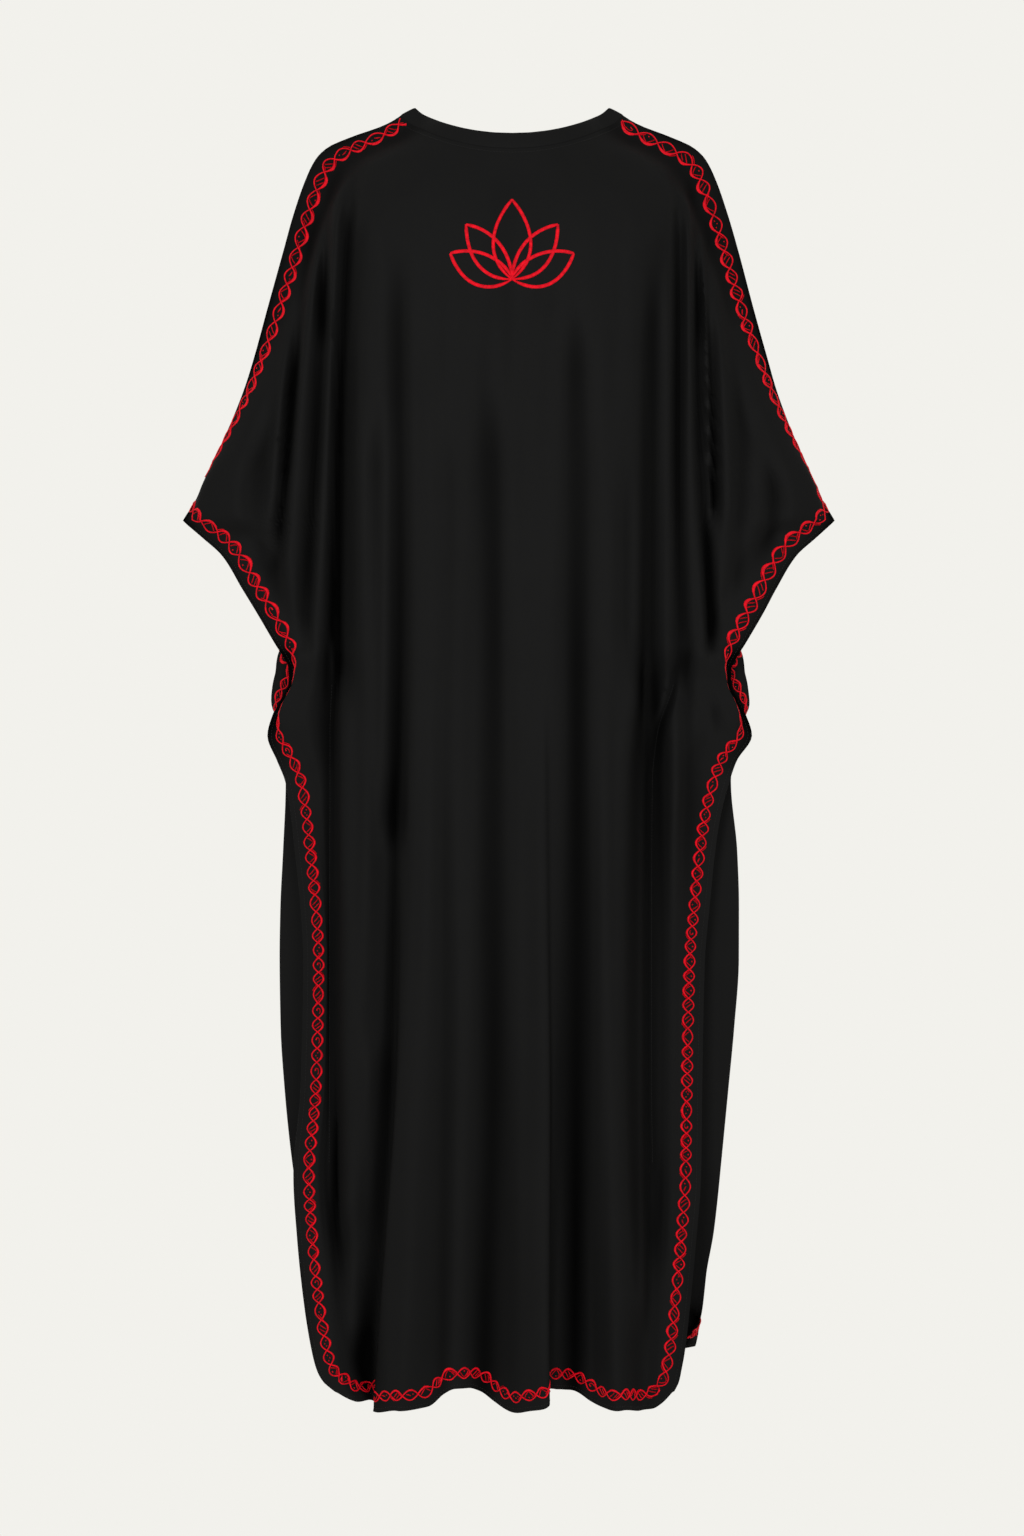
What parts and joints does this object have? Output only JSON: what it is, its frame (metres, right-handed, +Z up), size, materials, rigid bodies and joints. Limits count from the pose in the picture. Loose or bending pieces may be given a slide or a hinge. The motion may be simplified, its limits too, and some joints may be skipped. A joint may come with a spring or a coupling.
{
  "type": "butterfly kaftan",
  "caption": "Long loose butterfly kaftan, hung hollow as worn: two panels with half sleeves cut in one, scoop neck band, open sleeve mouths, free side flaps and slits at the hem.",
  "frame": {"origin": "halfway between the two points where the shoulder seams meet the neck, at their height", "axes": "+Z up to the neck, -Y out of the garment's back, +X to the garment's right sleeve"},
  "size_m": [0.713, 0.2357, 1.4098],
  "materials": {
    "back_cloth": "black crepe with a soft sheen",
    "front_cloth": "black crepe with a soft sheen",
    "band_cloth": "black crepe with a soft sheen"
  },
  "bodies": {
    "root": {"back_panel": "back_cloth", "front_panel": "front_cloth", "neck_band": "band_cloth"}
  },
  "joints": []
}
